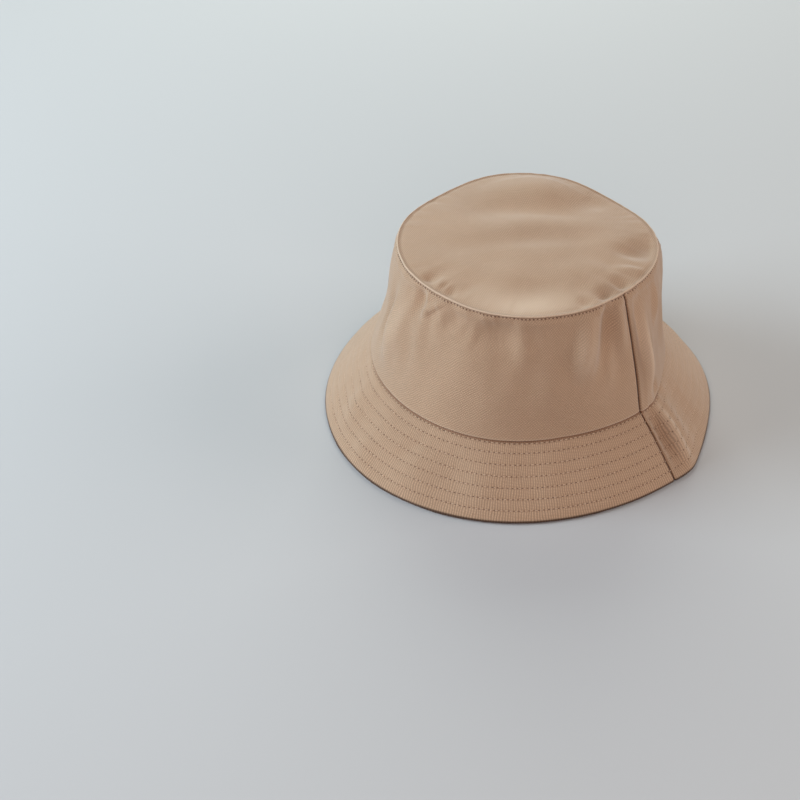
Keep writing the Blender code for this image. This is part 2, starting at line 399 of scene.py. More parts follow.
BAND_SWELLS = [
    # depth_m, spacing_m, step_m, seed, sharp
    (0.00170, 0.028, 0.045, 11.0, False),
    (0.00045, 0.011, 0.022, 19.0, False),
]


def pucker_strength(angle, column):
    """How strongly the cloth puckers at this angle, on the band (column 2) or on the tip (column 3)."""
    return LEAST_PUCKER + sum(row[column] * hump(turned(angle, row[0]), row[1]) for row in PUCKERS)


print("single folds:", len(BAND_WRINKLES), "on the band,", len(TIP_WRINKLES), "on the tip,",
      len(BRIM_WRINKLES), "on the brim")


# %% Cloth rows close to the seams
def stops(length, fine_start, fine_end, fine_step, step):
    """Places from 0 to length, fine_step apart near the two ends and step apart between them."""
    start = fine_step * np.arange(int(round(fine_start / fine_step)))
    end = length - fine_step * np.arange(int(round(fine_end / fine_step)))[::-1]
    count = max(2, int(round((end[0] - fine_start) / step)))
    middle = np.linspace(fine_start, end[0], count, endpoint=False)
    return np.concatenate([start, middle, end])


BAND_LENGTH = 0.0775
BAND_STOPS = stops(BAND_LENGTH, 0.003, 0.007, 0.00035, 0.0010) / BAND_LENGTH
PANEL_LENGTH = math.pi * HEAD_RADIUS
SEAM_SLACK = 0.00003
panel_places = stops(PANEL_LENGTH - 2 * SEAM_SLACK, 0.0030, 0.0030, 0.0003, 0.00095) + SEAM_SLACK
PANEL_ANGLES = panel_places / PANEL_LENGTH * 180.0
print("rows up the band:", len(BAND_STOPS), "and columns round a panel:", len(PANEL_ANGLES))

# %% [markdown]
# ## The side of the crown
#
# Two panels make the crown's side. Three things show that they are sewn. Their lower edge is turned under and
# hangs a little proud of the brim. Their ends turn into the side seam, where both layers of the seam allowance
# are pressed to the back, so a flat strip beside the seam stands out. Under the tip a row of topstitching
# pulls a narrow groove, with puckers running down from it. The panel is a grid of points, so each of these is
# one more term in the distance from the crown's middle. Thickness comes from a second grid inside the first.

# %% Surface of the band
SIDE_RADIUS = 0.088
TOPSTITCH_DROP = 0.0017
ROLL_DROP = 0.0049
ALLOWANCE = 0.0075
ALLOWANCE_RISE = 0.0006
SEAM_ROLL = 0.0007
EDGE_TURN = 0.0009
GATHER_SLANT = 150.0


def merged(angle):
    """Where band and brim flow into one another, at the wearer's front left and behind the fold line."""
    return np.maximum(hump(turned(angle, 212.0), 44.0), 0.7 * hump(turned(angle, 44.0), 34.0)) ** 0.5


def slack(angle):
    """Where the brim is stretched smooth, next to the two places where it flows into the band."""
    return np.maximum(hump(turned(angle, 42.0), 36.0), hump(turned(angle, 204.0), 38.0)) ** 0.5


def seam_distance(angle):
    """Distance round the crown to the nearer side seam, positive behind it on the back panel."""
    nearest = np.where(np.abs(turned(angle, 0.0)) < 90.0, turned(angle, 0.0), -turned(angle, 180.0))
    return np.radians(nearest) * SIDE_RADIUS


def side_seam_relief(angle):
    """The step at a side seam: the front panel rolls in, and the back one stands proud over its allowance."""
    away = seam_distance(angle)
    roll = -SEAM_ROLL * np.exp(-((np.abs(away) / 0.00055) ** 1.5))
    strip = ALLOWANCE_RISE * ramp(away, 0.0010) * ramp(ALLOWANCE - away, 0.0014)
    dip = np.where(away < 0, -0.00030 * fading(np.abs(away), 0.0030), 0.0)
    return roll + strip + dip


def band_surface(angle, share):
    """Points of the band's outside with all its small folds."""
    radius, height = band_shape(angle, share)
    up = share * BAND_LENGTH
    down = (1.0 - share) * BAND_LENGTH
    gathers = ripples(BAND_GATHERS, angle - GATHER_SLANT * down, down) * ramp(down, 0.0020)
    radius = radius + 0.00140 * pucker_strength(angle, 2) * gathers * fading(down, 0.0090)
    radius = radius + ripples(BAND_SWELLS, angle, up) * np.sin(np.pi * share)
    radius = radius + small_folds(BAND_WRINKLES, angle, share) * ramp(up, 0.003) * ramp(down, 0.004)
    radius = radius - 0.00040 * ridge(down - TOPSTITCH_DROP, 0.0008) + 0.00045 * ridge(down - ROLL_DROP, 0.0018)
    radius = radius - EDGE_TURN * (1.0 - ramp(down, 0.0010)) ** 2
    hem = 0.00085 * fading(up, 0.0045) - EDGE_TURN * (1.0 - ramp(up, 0.0010)) ** 2
    radius = radius + hem * (1.0 - 0.7 * merged(angle)) + 0.0016 * merged(angle) * fading(up, 0.0075)
    return xyz(angle, radius + side_seam_relief(angle), height - 0.0005 * fading(up, 0.002))


side_seam = band_surface(np.zeros((1, 1)), np.array([[0.0, 1.0]]))
print("a side seam is", mm(np.linalg.norm(side_seam[0, 1] - side_seam[0, 0])), "mm long")

# %% [markdown]
# ## From grids to closed cloth
#
# Every panel is made by the same helper. It takes a grid of points for the outside and moves a copy of it
# inwards along its own normals by the thickness of the cloth. It then joins the two round all four sides, so
# the mesh is one closed wall. A Solidify modifier would do nearly the same, but here the inner grid can be
# placed exactly, for instance flat on the floor under the brim. The UV map is in metres along the cloth, so
# that a weave has its real size on every panel.


# %% Helpers for grids and pieces
def grid_normals(points):
    """Unit normals of a grid of points, from its rows and columns."""
    along = np.gradient(points, axis=0)
    across = np.gradient(points, axis=1)
    normal = np.cross(along, across)
    return normal / np.maximum(np.linalg.norm(normal, axis=-1, keepdims=True), 1e-12)


def grid_faces(columns, rows, first, flip, wrap=False):
    """Quads of a grid whose points are numbered from first, column by column."""
    c = np.arange(columns if wrap else columns - 1)
    r = np.arange(rows - 1)
    c, r = (a.ravel() for a in np.meshgrid(c, r, indexing="ij"))
    nxt = (c + 1) % columns
    quads = np.stack([c * rows + r, nxt * rows + r, nxt * rows + r + 1, c * rows + r + 1], axis=1) + first
    return quads[:, ::-1] if flip else quads


def put(name, data):
    """A new object in the scene."""
    thing = bpy.data.objects.new(name, data)
    bpy.context.scene.collection.objects.link(thing)
    return thing


def make_piece(name, points, faces, uv, attributes, material):
    """A smooth-shaded object at the origin from point and face arrays, with its UV map and attributes."""
    mesh = bpy.data.meshes.new(name)
    mesh.from_pydata(points.tolist(), [], [f.tolist() for f in faces])
    mesh.validate()
    mesh.update()
    layer = mesh.uv_layers.new(name="UVMap")
    corner = np.zeros(len(mesh.loops), dtype=np.int32)
    mesh.loops.foreach_get("vertex_index", corner)
    layer.data.foreach_set("uv", uv[corner].astype(np.float32).ravel())
    for key, values in attributes.items():
        field = mesh.attributes.new(key, "FLOAT", "POINT")
        field.data.foreach_set("value", values.astype(np.float32))
    mesh.shade_smooth()
    mesh.materials.append(material)
    print(name, len(mesh.vertices), "points,", len(mesh.polygons), "faces")
    return put(name, mesh)


def closed_panel(name, outer, inner, uv, attributes, material):
    """A wall between two grids of the same size, closed round its four sides."""
    columns, rows = outer.shape[:2]
    count = columns * rows
    points = np.concatenate([outer.reshape(-1, 3), inner.reshape(-1, 3)])
    number = np.arange(count).reshape(columns, rows)
    rim = np.concatenate([number[:, 0], number[-1, 1:], number[-2::-1, -1], number[0, -2:0:-1]])
    after = np.roll(rim, -1)
    sides = np.stack([rim, rim + count, after + count, after], axis=1)
    walls = [grid_faces(columns, rows, 0, False), grid_faces(columns, rows, count, True), sides]
    faces = [face for wall in walls for face in wall]
    both = {key: np.concatenate([values.ravel(), values.ravel()]) for key, values in attributes.items()}
    return make_piece(name, points, faces, np.concatenate([uv.reshape(-1, 2)] * 2), both, material)


# %% [markdown]
# ## Twill
#
# Twill is woven so that each row of raised threads steps sideways from the one before it, which draws fine
# slanting ridges across the cloth. One Wave texture along the slant draws the ridges and a second one across
# them cuts each ridge into single thread crossings. Both read the UV map, so the ridges follow the panel. Their
# sum is the bump and, more faintly, the colour. Wider noise on Object coordinates gives the slow changes of
# tone that washed cotton has, and a finer one its loose fibres. Painted shade darkens the cloth deep in a seam
# or a fold, where little light gets in. A painted highlight makes it paler on edges and crests, and a painted
# contact shadow leaves it almost unlit where it turns under at the floor. The points carry these three shares
# as three attributes: depth for the painted shade, one for the painted highlight, and under for the painted
# contact shadow.


# %% Helpers for node trees
def blank_material(name):
    """A new material and its node tree."""
    material = bpy.data.materials.new(name)
    material.use_nodes = True
    return material, material.node_tree


def fill(tree, node, inputs):
    """Gives a node's inputs their values, or joins sockets to them."""
    for key, value in inputs.items():
        if isinstance(value, bpy.types.NodeSocket):
            tree.links.new(value, node.inputs[key])
        else:
            node.inputs[key].default_value = value


def placed(tree, kind, inputs, **settings):
    """A new node with its settings and inputs."""
    node = tree.nodes.new(kind)
    for key, value in settings.items():
        setattr(node, key, value)
    fill(tree, node, inputs)
    return node


def product(tree, first, second):
    """The product of two sockets or numbers."""
    return placed(tree, "ShaderNodeMath", {0: first, 1: second}, operation="MULTIPLY").outputs[0]


def tinted(tree, blend, factor, first, second):
    """A colour Mix node."""
    mix = placed(tree, "ShaderNodeMix", {}, data_type="RGBA", blend_type=blend)
    fill(tree, mix, {0: factor, 6: first, 7: second})
    return mix.outputs[2]


def ranged(tree, value, low, high):
    """Maps a 0 to 1 socket onto low to high."""
    return placed(tree, "ShaderNodeMapRange", {"Value": value, "To Min": low, "To Max": high}).outputs[0]


def attribute(tree, name):
    """A share that the points of the cloth carry."""
    return placed(tree, "ShaderNodeAttribute", {}, attribute_name=name).outputs["Fac"]


def soft_noise(tree, spacing, detail):
    """Noise on Object coordinates with features about spacing metres wide."""
    place = placed(tree, "ShaderNodeTexCoord", {}).outputs["Object"]
    inputs = {"Vector": place, "Scale": 1.0 / spacing, "Detail": detail}
    return placed(tree, "ShaderNodeTexNoise", inputs).outputs["Fac"]


# %% Twill material
WAVE_PERIOD = 2.0 * math.pi / 20.0
COTTON = (0.500, 0.338, 0.225, 1.0)
# Tints of the painted shade, the painted highlight and the painted contact shadow.
SHADED = (0.40, 0.28, 0.22, 1.0)
PAINTED_HIGHLIGHT_TINT = (0.78, 0.62, 0.47, 1.0)
UNLIT = (0.15, 0.12, 0.11, 1.0)


def weave_wave(tree, coordinates, turn, pitch, wobble):
    """A Wave texture with ridges pitch metres apart, turned by some degrees from across the cloth."""
    rotation = (0.0, 0.0, math.radians(turn))
    scale = (WAVE_PERIOD / pitch,) * 3
    inputs = {"Vector": coordinates, "Rotation": rotation, "Scale": scale}
    across = placed(tree, "ShaderNodeMapping", inputs).outputs[0]
    inputs = {"Vector": across, "Scale": 1.0, "Distortion": wobble, "Detail": 1.0, "Detail Scale": 0.6}
    return placed(tree, "ShaderNodeTexWave", inputs, wave_type="BANDS", bands_direction="X").outputs["Fac"]


def twill_material(name, ridge_turn, ridge_pitch, thread_turn, thread_pitch, relief, contrast, crossing):
    """Cotton twill with its ridges at one angle and its thread crossings at another.

    The valley of a crossing is as high as the share crossing of its ridge.
    """
    material, tree = blank_material(name)
    uv = placed(tree, "ShaderNodeUVMap", {}, uv_map="UVMap").outputs[0]
    ridges = weave_wave(tree, uv, ridge_turn, ridge_pitch, 4.2)
    threads = weave_wave(tree, uv, thread_turn, thread_pitch, 5.0)
    weave = product(tree, ridges, ranged(tree, threads, crossing, 1.0))
    fibres = soft_noise(tree, 0.0006, 3.0)
    cloud = soft_noise(tree, 0.035, 2.0)
    streak = soft_noise(tree, 0.006, 2.0)
    height = placed(tree, "ShaderNodeMath", {0: weave, 1: product(tree, fibres, 0.5)}, operation="ADD")
    bump = placed(tree, "ShaderNodeBump", {"Strength": 0.55, "Distance": relief, "Height": height.outputs[0]})
    shade = ranged(tree, weave, 1.0 - contrast, 1.0 + 0.8 * contrast)
    for variation, strength in ((cloud, 0.045), (streak, 0.025), (fibres, 0.10)):
        shade = product(tree, shade, ranged(tree, variation, 1.0 - strength, 1.0 + strength))
    toned = tinted(tree, "MULTIPLY", 1.0, COTTON, shade)
    # Painted shade darkens the cloth by depth, a painted highlight makes it paler, and a painted contact shadow
    # darkens it by under.
    deep = tinted(tree, "MULTIPLY", attribute(tree, "depth"), toned, SHADED)
    with_highlight = tinted(tree, "MIX", attribute(tree, "painted_highlight"), deep, PAINTED_HIGHLIGHT_TINT)
    unlit = tinted(tree, "MULTIPLY", attribute(tree, "under"), with_highlight, UNLIT)
    fill(tree, tree.nodes["Principled BSDF"], {
        "Base Color": unlit,
        "Normal": bump.outputs[0],
        "Roughness": ranged(tree, weave, 0.92, 0.80),
        "Sheen Weight": 0.32,
        "Sheen Roughness": 0.45,
        "Specular IOR Level": 0.25,
    })
    return material


TWILLS = {
    # ridge_turn, ridge_pitch, thread_turn, thread_pitch, relief, contrast, crossing
    "crown_twill_cloth": (46.0, 0.00118, -40.0, 0.0013, 0.00027, 0.21, 0.30),
    "tip_twill_cloth": (-19.0, 0.00118, 61.0, 0.0013, 0.00024, 0.17, 0.30),
    "brim_twill_cloth": (2.0, 0.00135, 80.0, 0.0016, 0.00028, 0.25, 0.60),
}
crown_twill, tip_twill, brim_twill = (twill_material(name, *weave) for name, weave in TWILLS.items())
print("cloth materials:", crown_twill.name, tip_twill.name, brim_twill.name)

# %% [markdown]
# ## Cutting the two crown panels
#
# The helper is called once for the back panel and once for the front one. Painted shade, the depth attribute,
# is high in the side seams and under the tip, and a painted highlight lies along the hem's edge. The soft light
# of this scene shows the band's folds less than daylight would, so their valleys get a little painted shade and
# their crests a little painted highlight, from tables like those of the folds.


# %% Crown panels
BAND_WALL = 0.9 * CLOTH
SEAM_SHADE = 0.0005

BAND_SHADES = [
    # angle, half_width_deg, middle, half_height, lean_deg, painted_shade
    (2.5, 3.4, 0.52, 0.52, 0.0, 0.44),
    (346.74, 5.0, 0.72, 0.32, 12.0, 0.13),
    (303.0, 34.0, 0.90, 0.17, 0.0, 0.12),
]

# Painted highlights on the crests of folds.
BAND_HIGHLIGHTS = [
    # angle, half_width_deg, middle, half_height, lean_deg, painted_highlight
    (8.2, 5.4, 0.42, 0.50, 0.0, 0.50),
    (336.36, 6.0, 0.66, 0.34, 8.0, 0.22),
    (251.95, 6.4, 0.55, 0.46, 9.0, 0.22),
]


def crown_shades(angle, share):
    """Painted shade (depth) and painted highlight of the band's points."""
    up = share * BAND_LENGTH
    down = (1.0 - share) * BAND_LENGTH
    # Painted shade in the side seams, in a line just under the tip seam, and in the fold valleys of
    # BAND_SHADES.
    depth = ridge(seam_distance(angle), SEAM_SHADE) + 0.30 * ridge(down - 0.0009, 0.0006)
    depth = depth + small_folds(BAND_SHADES, angle, share)
    # Painted highlight along the hem's edge and on the fold crests of the band's highlight table.
    painted_highlight = 0.22 * ridge(up - 0.0007, 0.0006) * (1.0 - merged(angle)) + small_folds(BAND_HIGHLIGHTS, angle, share)
    return {"depth": np.clip(depth, 0.0, 1.0), "painted_highlight": painted_highlight}


def crown_panel(name, start):
    """One panel of the crown's side, from the side seam at the start angle to the other one."""
    angle = (start + PANEL_ANGLES)[:, None]
    share = BAND_STOPS[None, :]
    outer = band_surface(angle, share)
    inner = outer - grid_normals(outer) * BAND_WALL
    uv = np.stack(np.broadcast_arrays(np.radians(angle) * SIDE_RADIUS, share * BAND_LENGTH), axis=-1)
    return closed_panel(name, outer, inner, uv, crown_shades(angle, share), crown_twill)


for node, start in (("crown_back", 0.0), ("crown_front", 180.0)):
    piece = crown_panel(node + "_panel", start)
    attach(piece, "root")
    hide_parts(node)

# %% [markdown]
# ## The tip
#
# The tip is one oval of cloth. Its edge is turned down over the band and held by the topstitching, so it ends
# in a thin rounded welt that catches the light, with a painted highlight along it. The mesh runs from the
# middle out to the valley beside the welt, round the welt in a few steps, and back inside under the cloth.
# Rings round a pole suit it, as its folds are measured from the middle outwards. Faint painted shade lies
# across its middle, in its hollows where it sags, in the valley beside the welt and where the cloth turns
# under the welt, with a painted highlight on part of its edge.

# %% Surface of the tip
WELT_RADIUS = 0.00068
WELT_TURNS = (125.0, 100.0, 75.0, 50.0, 25.0, 0.0, -25.0, -50.0)
SWELL_SPACING = 0.026
SWELL_DEPTH = 0.0013
SWELL_SEED = 31.0


def tip_surface(angle, share):
    """Points of the tip's upper side with its small folds, up to the valley beside the welt."""
    edge_radius = tip_edge(angle)[0]
    radius = edge_radius * share
    inwards = edge_radius * (1.0 - share)
    x = radius * np.cos(np.radians(angle)) / SWELL_SPACING
    y = radius * np.sin(np.radians(angle)) / SWELL_SPACING
    swells = np.array([noise.noise(Vector((a, b, SWELL_SEED))) for a, b in zip(x.ravel(), y.ravel())])
    gathers = pucker_strength(angle, 3) * ripples(TIP_GATHERS, angle, inwards) * fading(inwards, 0.0085)
    folds = 0.00110 * gathers + small_folds(TIP_WRINKLES, angle, share)
    height = tip_height(angle, share) + folds * ramp(inwards - 0.0010, 0.0035)
    height = height + SWELL_DEPTH * ramp(inwards, 0.02) * swells.reshape(x.shape)
    return xyz(angle, radius, height - 0.00035 * ridge(inwards - 0.0019, 0.0009))


# %% Rings and faces of the tip
TIP_COLUMN_STEP = 0.72
VALLEY_WIDTH = 0.0014
UNDER_SHRINK = np.array([0.985, 0.985, 1.0])

TIP_HEM = np.array([
    # inwards from the seam, below it
    (0.0011, 0.0016),
    (0.0014, 0.0040),
    (0.0024, 0.0040),
    (0.0023, 0.0020),
])


def tip_rings():
    """Shares of the tip's radius for its rings, from the middle to the valley beside the welt."""
    inwards = stops(TIP_RADIUS, 0.0005, 0.0100, 0.0005, 0.0011)
    inwards = inwards[(inwards > VALLEY_WIDTH) & (inwards < TIP_RADIUS - 0.0002)]
    return (np.sort(TIP_RADIUS - inwards) / TIP_RADIUS)[None, :]


def tip_section(angle, share):
    """The rings of the whole tip: over the top, round the welt, down into the hem and back under the cloth."""
    edge_radius, edge_height = tip_edge(angle)
    top = tip_surface(angle, share)
    welt_radius = edge_radius + 0.00040 - WELT_RADIUS + 0.00018 * uneven(angle, 0.007, 0.0, 41.0)
    welt_height = edge_height + 0.00035 - WELT_RADIUS + 0.00015 * uneven(angle, 0.006, 0.0, 43.0)
    turns = np.radians(np.array(WELT_TURNS))[None, :]
    welt = xyz(angle, welt_radius + WELT_RADIUS * np.cos(turns), welt_height + WELT_RADIUS * np.sin(turns))
    hem = xyz(angle, edge_radius - TIP_HEM[:, 0], edge_height - TIP_HEM[:, 1])
    middle = np.array([CROWN_X, CROWN_Y, -CLOTH])
    under = middle + (top - np.array([CROWN_X, CROWN_Y, 0.0])) * UNDER_SHRINK
    return np.concatenate([top, welt, hem, under[:, ::-1]], axis=1)


def tip_faces(columns, rows):
    """Faces between the rings, and a fan at each pole. The poles are the two points after the rings."""
    here = np.arange(columns) * rows
    after = np.roll(here, -1)
    pole = np.full(columns, columns * rows)
    top_fan = np.stack([pole, here, after], axis=1)
    under_fan = np.stack([pole + 1, after + rows - 1, here + rows - 1], axis=1)
    return list(grid_faces(columns, rows, 0, True, wrap=True)) + list(top_fan) + list(under_fan)


# %% Shades of the tip
VIEW_TURN = 49.0

TIP_SHADES = [
    # angle, half_width_deg, middle, half_depth, lean_deg, painted_shade
    (38.0, 15.0, 0.88, 0.16, 0.0, 0.20),
    (356.0, 13.0, 0.93, 0.14, 0.0, 0.27),
    (172.0, 60.0, 0.72, 0.45, 0.0, 0.10),
]

TIP_HIGHLIGHTS = [
    # angle, half_width_deg, middle, half_depth, lean_deg, painted_highlight
    (312.0, 44.0, 0.88, 0.30, 0.0, 0.50),
]


def tip_shades(angle, share, rows):
    """Painted shade in the tip's valley, turned-under hem, middle and hollows; painted highlight on welt and
    edge.
    """
    past_top = np.arange(rows) - share.shape[1]
    reach = np.concatenate([share[0], np.full(rows - share.shape[1], 2.0)])[None, :]
    # Painted shade where the cloth turns down under the welt.
    tucked_shade = np.where((past_top >= 6) & (past_top < 12), 0.8, 0.0)
    away = reach * np.sin(np.radians(angle - VIEW_TURN))
    sideways = reach * np.cos(np.radians(angle - VIEW_TURN))
    # Painted shade across the sagging middle.
    sag_shade = 0.10 * hump(away - 0.02, 0.30) * hump(sideways + 0.05, 0.85)
    # Painted shade in the valley beside the welt, under the welt, across the middle and in the hollows.
    depth = np.maximum(0.35 * ridge(past_top, 1.2), tucked_shade) + sag_shade + small_folds(TIP_SHADES, angle, reach)
    # Painted highlight on the welt and along part of the edge.
    painted_highlight = 0.68 * ridge(past_top - 3.2, 1.6) + small_folds(TIP_HIGHLIGHTS, angle, reach)
    return depth, painted_highlight


def make_tip():
    """The tip as one closed piece, with its two poles."""
    angle = np.arange(0.0, 360.0, TIP_COLUMN_STEP)[:, None]
    share = tip_rings()
    section = tip_section(angle, share)
    columns, rows = section.shape[:2]
    top_pole = section[:, 0].mean(axis=0) + np.array([0.0, 0.0, 0.00002])
    under_pole = top_pole - np.array([0.0, 0.0, CLOTH])
    points = np.concatenate([section.reshape(-1, 3), [top_pole, under_pole]])
    # Painted shade (depth) and painted highlight of each ring.
    depth, painted_highlight = tip_shades(angle, share, rows)
    shades = {"depth": np.append(depth, [0.0, 0.0]), "painted_highlight": np.append(painted_highlight, [0.0, 0.0])}
    uv = points[:, :2] + 0.5
    return make_piece("tip_panel", points, tip_faces(columns, rows), uv, shades, tip_twill)


tip_piece = make_tip()
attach(tip_piece, "root")
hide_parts("crown_tip")

# %% [markdown]
# ## The brim
#
# The brim is two plies of twill, quilted together by rows of stitching, with the edge turned in between them.
# It has a shallow groove along each row, the cloth puffed between rows, and fine creases across from row to
# row where the two plies shifted while they were sewn. Where it is stretched smooth, behind its fold line and
# at the wearer's front left, the grooves fade. Its section is one closed loop: down the upper side, round the
# edge, back up the underside, and inside the crown.

# %% Surface of the brim
BRIM_LENGTH = 0.0465
BRIM_OUT = 0.72
BRIM_UP = 0.66
QUILT_STEP = 0.143
QUILT_SHARES = (0.035, 0.150, 0.292, 0.435, 0.578, 0.721, 0.864)


def brim_surface(angle, share):
    """Points of the brim's upper side with its quilting."""
    radius, height = brim_shape(angle, share)
    span = share * BRIM_LENGTH
    lift = 0.0009 * merged(angle) * fading(span, 0.006) + 0.7 * side_seam_relief(angle)
    for k, row in enumerate(QUILT_SHARES):
        line = row * BRIM_LENGTH + 0.00030 * uneven(angle, 0.030, 0.0, 50.0 + k)
        lift = lift - 0.00014 * (1.0 - slack(angle)) * ridge(span - line, 0.00075)
    puff = np.cos(2 * np.pi * ((share - QUILT_SHARES[1]) / QUILT_STEP - 0.5))
    lift = lift + 0.00007 * puff * ramp(share, 0.05) * ramp(1.0 - share, 0.04)
    creases = 0.00014 * uneven(angle + 50.0 * span, 0.0030, span / 0.0060, 61.0)
    swells = 0.00140 * (1.0 - 0.7 * slack(angle)) * uneven(angle, 0.020, span / 0.024, 67.0)
    lift = lift + (creases + swells + small_folds(BRIM_WRINKLES, angle, share)) * ramp(1.0 - share, 0.08)
    return xyz(angle, radius + lift * BRIM_OUT, height + lift * BRIM_UP)


# %% Section of the brim
BRIM_ROWS = 72
BRIM_WALL = BRIM_CLOTH - 0.0002
EDGE_TURNS = (30.0, 60.0, 90.0, 120.0, 150.0)
FLOOR_GAP = 0.00005
UNDERSIDE_GAP = 0.00008

NECK = np.array([
    # inwards from the head seam, above the brim's top
    (0.0052, -0.0010),
    (0.0056, 0.0052),
    (0.0040, 0.0052),
    (0.0016, -0.0002),
])


def brim_section(angle, share):
    """The brim's closed section: upper side, turned edge, underside, and the neck inside the crown."""
    upper = brim_surface(angle, share)
    lower = upper + grid_normals(upper) * BRIM_WALL
    lower[:, :, 2] = np.maximum(lower[:, :, 2], UNDERSIDE_GAP)
    middle = (upper[:, -1:] + lower[:, -1:]) / 2
    spoke = upper[:, -1:] - middle
    reach = np.linalg.norm(spoke, axis=-1, keepdims=True)
    outwards = xyz(angle, 1.0, 0.0) - xyz(angle, 0.0, 0.0)
    slope = np.cross(spoke / reach, np.cross(outwards, spoke / reach))
    slope = slope / np.linalg.norm(slope, axis=-1, keepdims=True)
    turns = np.radians(np.array(EDGE_TURNS))[None, :, None]
    edge = middle + spoke * np.cos(turns) + slope * reach * np.sin(turns)
    edge[:, :, 2] = np.maximum(edge[:, :, 2], FLOOR_GAP)
    neck = xyz(angle, head_edge(angle) - NECK[:, 0], BRIM_DROP + NECK[:, 1])
    return np.concatenate([upper, edge, lower[:, ::-1], neck], axis=1)


def brim_faces(columns, rows):
    """Faces round the closed section, and one face over each end."""
    column, row = np.divmod(grid_faces(columns, rows + 1, 0, True), rows + 1)
    ends = [np.arange(rows)[::-1], np.arange(rows) + (columns - 1) * rows]
    return list(column * rows + row % rows) + ends


def section_places(share):
    """Distance of each row along the section from the head seam: down, round the edge, back and up the neck."""
    down = share[0] * BRIM_LENGTH
    edge = BRIM_LENGTH + 0.0004 * np.arange(1, len(EDGE_TURNS) + 1)
    neck = 2 * BRIM_LENGTH + 0.004 * np.arange(len(NECK))
    return np.concatenate([down, edge, BRIM_LENGTH + BRIM_CLOTH + down, neck])[None, :]


# %% Brim panels
BRIM_RADIUS = 0.110


def brim_shades(angle, places):
    """Painted shade (depth), painted highlight and painted contact shadow (under) of the brim's points."""
    # Painted shade in the side seams, and a painted shadow under the band's hem along the head seam.
    hem = 0.90 * ridge(places, 0.0013) * (1.0 - 0.95 * merged(angle))
    # Painted shade in the valley beside the old fold line.
    fold_valley_shade = 0.27 * (hump(turned(angle, 3.2), 4.4) * hump(places - 0.020, 0.032)) ** 0.6
    depth = ridge(seam_distance(angle), SEAM_SHADE) + hem + fold_valley_shade
    # Painted shade along each quilting row.
    for row in QUILT_SHARES:
        depth = depth + 0.12 * (1.0 - slack(angle)) * ridge(places - row * BRIM_LENGTH, 0.0006)
    # Painted highlight on the old fold line and, faintly, on the stretched brim behind it.
    fold_line_highlight = hump(turned(angle, 8.6), 3.9) * hump(places - 0.020, 0.034)
    stretched = hump(turned(angle, 42.0), 36.0) ** 0.5 * ramp(BRIM_LENGTH - places, 0.01)
    painted_highlight = 0.34 * fold_line_highlight + 0.04 * stretched
    # Painted contact shadow where the edge turns under at the floor.
    under = ramp(places - BRIM_LENGTH + 0.0007, 0.0008)
    shades = {"depth": np.clip(depth, 0.0, 1.0), "painted_highlight": painted_highlight, "under": under}
    return {key: np.broadcast_to(values, depth.shape).ravel() for key, values in shades.items()}


def make_brim(name, start):
    """One half of the brim, from the side seam at the start angle to the other one."""
    angle = (start + PANEL_ANGLES)[:, None]
    share = np.linspace(0.0, 1.0, BRIM_ROWS)[None, :]
    section = brim_section(angle, share)
    places = section_places(share)
    uv = np.stack(np.broadcast_arrays(np.radians(angle) * BRIM_RADIUS, places), axis=-1).reshape(-1, 2)
    faces = brim_faces(*section.shape[:2])
    return make_piece(name, section.reshape(-1, 3), faces, uv, brim_shades(angle, places), brim_twill)


for node, start in (("brim_back", 0.0), ("brim_front", 180.0)):
    piece = make_brim(node + "_panel", start)
    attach(piece, "root")
    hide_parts(node)

# %% [markdown]
# ## Stitches by Geometry Nodes
#
# There are nearly two thousand stitches, so they are instances: one low thread shape, repeated along each row
# at the machine's stitch length. The rows are polylines laid on the cloth, and each of their points carries
# the cloth's normal, so a stitch can be turned to lie flat on it. The same tree also places a small dark shape
# at each needle hole, half a stitch further on, as painted shade in the hole. Placing them with a Python loop
# would work too, but the tree keeps the pitch and the thread size as named inputs that can be changed
# afterwards.

# %% Thread materials
THREAD = (0.64, 0.47, 0.335, 1.0)
# The dark colour put at each needle hole is painted shade.
HOLE_SHADE = (0.20, 0.118, 0.078, 1.0)


def thread_material(name, colour, roughness):
    """Matt thread in one colour, a little uneven; also the painted shade in each needle hole."""
    material, tree = blank_material(name)
    shade = ranged(tree, soft_noise(tree, 0.0015, 2.0), 0.88, 1.10)
    toned = tinted(tree, "MULTIPLY", 1.0, colour, shade)
    fill(tree, tree.nodes["Principled BSDF"], {"Base Color": toned, "Roughness": roughness})
    return material


stitch_thread = thread_material("stitch_thread", THREAD, 0.65)
needle_hole_shade = thread_material("needle_hole_shade", HOLE_SHADE, 0.95)
print("thread materials:", stitch_thread.name, needle_hole_shade.name)


